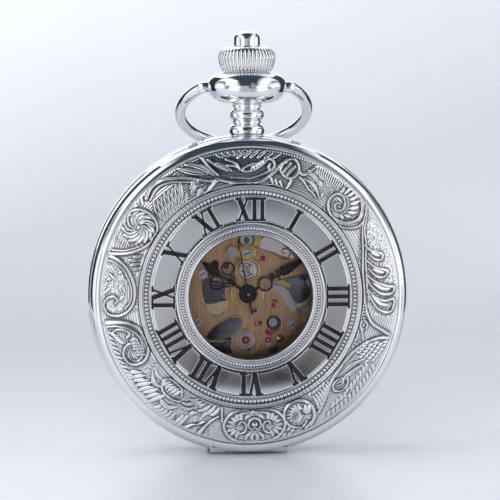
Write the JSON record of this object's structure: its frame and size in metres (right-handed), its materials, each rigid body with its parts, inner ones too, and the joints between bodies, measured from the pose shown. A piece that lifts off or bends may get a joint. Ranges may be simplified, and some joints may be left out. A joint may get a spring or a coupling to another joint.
{
  "type": "pocket watch",
  "caption": "Round pocket watch with a windowed hinged front cover, engraved numeral ring, skeleton movement, hinged back cover, fluted crown with push button, and a swinging bow.",
  "frame": {"origin": "centre of the back cover's flat face, on the hands' axis", "axes": "+Z towards the crown at twelve o'clock, -Y out of the dial, +X towards three o'clock"},
  "size_m": [0.047, 0.0221, 0.0621],
  "materials": {
    "polished_case": "mirror-polished plated alloy",
    "glass": "clear polished",
    "spring_steel": "tempered, fine grain",
    "steel": "polished steel",
    "seal": "smooth",
    "copper_plate": "copper-gilt, brushed",
    "gilt": "gilt, brushed",
    "ruby": "polished synthetic ruby",
    "dial_silver": "fine silvered",
    "black_hands": "gloss black lacquer"
  },
  "bodies": {
    "case": {"case_middle": "polished_case", "pendant": "polished_case", "hinge_pins": "polished_case", "inner_bezel": "polished_case", "rear_bezel": "polished_case", "dial_crystal": "glass", "rear_crystal": "glass", "movement_ring": "copper_plate", "lid_lift_spring": "spring_steel", "dial_ring": "dial_silver", "main_plate": "copper_plate", "barrel_bridge": "copper_plate", "train_bridge": "copper_plate", "balance_cock": "copper_plate", "pallet_bridge": "gilt", "minute_bridge": "gilt", "setting_bridge": "gilt", "jewels": "ruby", "balance_setting": "steel", "plate_screws": "steel", "movement_screws": "steel", "click_spring": "spring_steel"},
    "front_lid": {"front_cover": "polished_case", "window_glass": "glass", "window_retaining_ring": "spring_steel"},
    "back_lid": {"back_cover": "polished_case"},
    "bow": {"bow": "polished_case"},
    "stem_seal": {"stem_ring": "seal"},
    "crown": {"crown": "polished_case", "winding_stem": "steel", "button_spring": "spring_steel"},
    "button": {"push_button": "polished_case"},
    "catch": {"front_catch": "spring_steel"},
    "barrel": {"barrel": "gilt", "barrel_cover": "gilt", "mainspring": "spring_steel"},
    "ratchet": {"barrel_arbor": "steel", "ratchet_wheel": "steel"},
    "crown_wheel": {"crown_wheel": "steel"},
    "click": {"click": "steel"},
    "intermediate": {"intermediate_wheel": "gilt"},
    "minute": {"centre_wheel": "gilt", "cannon_pinion": "steel", "minute_hand": "black_hands"},
    "hour": {"hour_wheel": "gilt", "hour_hand": "black_hands"},
    "minute_wheel": {"minute_wheel": "gilt"},
    "setting_wheel": {"setting_wheel": "gilt"},
    "transfer_wheel": {"transfer_wheel": "gilt"},
    "third": {"third_wheel": "gilt"},
    "seconds": {"fourth_wheel": "gilt", "seconds_hand": "black_hands"},
    "escape": {"escape_wheel": "steel"},
    "pallet": {"pallet_fork": "steel"},
    "balance": {"balance_wheel": "gilt", "hairspring": "spring_steel"},
    "winding_pinion": {"winding_pinion": "steel"},
    "yoke": {"clutch_yoke": "steel"},
    "clutch": {"sliding_clutch": "steel"},
    "setting_lever": {"setting_lever": "steel"}
  },
  "joints": [
    {"name": "front_cover_hinge", "type": "hinge", "parent": "case", "child": "front_lid", "pos_m": [0, -0.0097, -0.0227], "axis": [1, 0, 0], "range_deg": [0, 100]},
    {"name": "back_cover_hinge", "type": "hinge", "parent": "case", "child": "back_lid", "pos_m": [0, -0.0041, -0.0227], "axis": [-1, 0, 0], "range_deg": [0, 100]},
    {"name": "bow_swing", "type": "hinge", "parent": "case", "child": "bow", "pos_m": [0, -0.0069, 0.0304], "axis": [1, 0, 0], "range_deg": [-18, 253]},
    {"name": "stem_pull", "type": "slide", "parent": "case", "child": "stem_seal", "axis": [0, 0, 1], "range_m": [0, 0.0008]},
    {"name": "crown_wind", "type": "hinge", "parent": "stem_seal", "child": "crown", "pos_m": [0, -0.0069, 0.034], "axis": [0, 0, 1], "continuous": true},
    {"name": "button_press", "type": "slide", "parent": "crown", "child": "button", "axis": [0, 0, -1], "range_m": [0, 0.0008], "stiffness_N_per_m": 1500, "springref_m": -0.0004, "deforming": ["button_spring"]},
    {"name": "catch_release", "type": "hinge", "parent": "case", "child": "catch", "pos_m": [0.01127, -0.0086, 0.0161], "axis": [0, -1, 0], "range_deg": [0, 3.4]},
    {"name": "minute_turn", "type": "hinge", "parent": "case", "child": "minute", "pos_m": [0, -0.009, 0], "axis": [0, 1, 0], "continuous": true},
    {"name": "hour_turn", "type": "hinge", "parent": "case", "child": "hour", "pos_m": [0, -0.0088, 0], "axis": [0, 1, 0], "continuous": true},
    {"name": "seconds_turn", "type": "hinge", "parent": "case", "child": "seconds", "pos_m": [0, -0.0095, 0], "axis": [0, 1, 0], "continuous": true},
    {"name": "minute_wheel_turn", "type": "hinge", "parent": "case", "child": "minute_wheel", "pos_m": [-0.00016, -0.0069, 0.0032], "axis": [0, 1, 0], "continuous": true},
    {"name": "setting_wheel_turn", "type": "hinge", "parent": "case", "child": "setting_wheel", "pos_m": [-0.00016, -0.0069, 0.008], "axis": [0, 1, 0], "continuous": true},
    {"name": "transfer_wheel_turn", "type": "hinge", "parent": "case", "child": "transfer_wheel", "pos_m": [-0.00016, -0.0069, 0.01162], "axis": [0, 1, 0], "continuous": true},
    {"name": "intermediate_turn", "type": "hinge", "parent": "case", "child": "intermediate", "pos_m": [0.0023, -0.0069, 0.0051], "axis": [0, 1, 0], "continuous": true},
    {"name": "barrel_turn", "type": "hinge", "parent": "case", "child": "barrel", "pos_m": [-0.00016, -0.0069, 0.0106], "axis": [0, 1, 0], "continuous": true},
    {"name": "third_turn", "type": "hinge", "parent": "case", "child": "third", "pos_m": [0.004, -0.0069, -0.0013], "axis": [0, 1, 0], "continuous": true},
    {"name": "escape_turn", "type": "hinge", "parent": "case", "child": "escape", "pos_m": [0.00152, -0.0069, -0.00454], "axis": [0, 1, 0], "continuous": true},
    {"name": "pallet_rock", "type": "hinge", "parent": "case", "child": "pallet", "pos_m": [0.0031, -0.0069, -0.00695], "axis": [0, 1, 0], "range_deg": [-5, 5]},
    {"name": "balance_swing", "type": "hinge", "parent": "case", "child": "balance", "pos_m": [-0.00009, -0.0069, -0.00705], "axis": [0, 1, 0], "range_deg": [-270, 270], "stiffness_Nm_per_rad": 0.0000002},
    {"name": "ratchet_turn", "type": "hinge", "parent": "case", "child": "ratchet", "pos_m": [-0.00016, -0.0069, 0.0106], "axis": [0, 1, 0], "continuous": true},
    {"name": "crown_wheel_turn", "type": "hinge", "parent": "case", "child": "crown_wheel", "pos_m": [-0.0023, -0.0069, 0.0156], "axis": [0, 1, 0], "continuous": true},
    {"name": "winding_pinion_turn", "type": "hinge", "parent": "case", "child": "winding_pinion", "pos_m": [0, -0.0069, 0.0156], "axis": [0, 0, 1], "continuous": true},
    {"name": "click_rock", "type": "hinge", "parent": "case", "child": "click", "pos_m": [0.0046, -0.0069, 0.0126], "axis": [0, 1, 0], "range_deg": [0, 6], "stiffness_Nm_per_rad": 0.0002, "springref_deg": -2.86},
    {"name": "yoke_shift", "type": "slide", "parent": "case", "child": "yoke", "axis": [0, 0, -1], "range_m": [0, 0.0006]},
    {"name": "clutch_turn", "type": "hinge", "parent": "yoke", "child": "clutch", "pos_m": [0, -0.0069, 0.0142], "axis": [0, 0, 1], "continuous": true},
    {"name": "setting_lever_turn", "type": "hinge", "parent": "case", "child": "setting_lever", "pos_m": [0.0032, -0.0069, 0.0173], "axis": [0, 1, 0], "range_deg": [0, 18]}
  ],
  "couplings": [
    {"joint": "catch_release", "follows": "button_press", "rad_per_m": 72},
    {"joint": "hour_turn", "follows": "minute_turn", "ratio": 0.083333},
    {"joint": "seconds_turn", "follows": "minute_turn", "ratio": 60},
    {"joint": "minute_wheel_turn", "follows": "minute_turn", "ratio": -0.33333},
    {"joint": "setting_wheel_turn", "follows": "minute_turn", "ratio": 0.33333},
    {"joint": "transfer_wheel_turn", "follows": "minute_turn", "ratio": -0.66667},
    {"joint": "intermediate_turn", "follows": "minute_turn", "ratio": -0.33333},
    {"joint": "barrel_turn", "follows": "minute_turn", "ratio": 0.13333},
    {"joint": "third_turn", "follows": "minute_turn", "ratio": -7.5},
    {"joint": "escape_turn", "follows": "minute_turn", "ratio": -270},
    {"joint": "crown_wheel_turn", "follows": "crown_wind", "ratio": 0.44444},
    {"joint": "ratchet_turn", "follows": "crown_wind", "ratio": -0.33333},
    {"joint": "winding_pinion_turn", "follows": "crown_wind", "ratio": 1},
    {"joint": "clutch_turn", "follows": "crown_wind", "ratio": 1},
    {"joint": "yoke_shift", "follows": "stem_pull", "ratio": 0.75},
    {"joint": "setting_lever_turn", "follows": "stem_pull", "rad_per_m": 390}
  ]
}
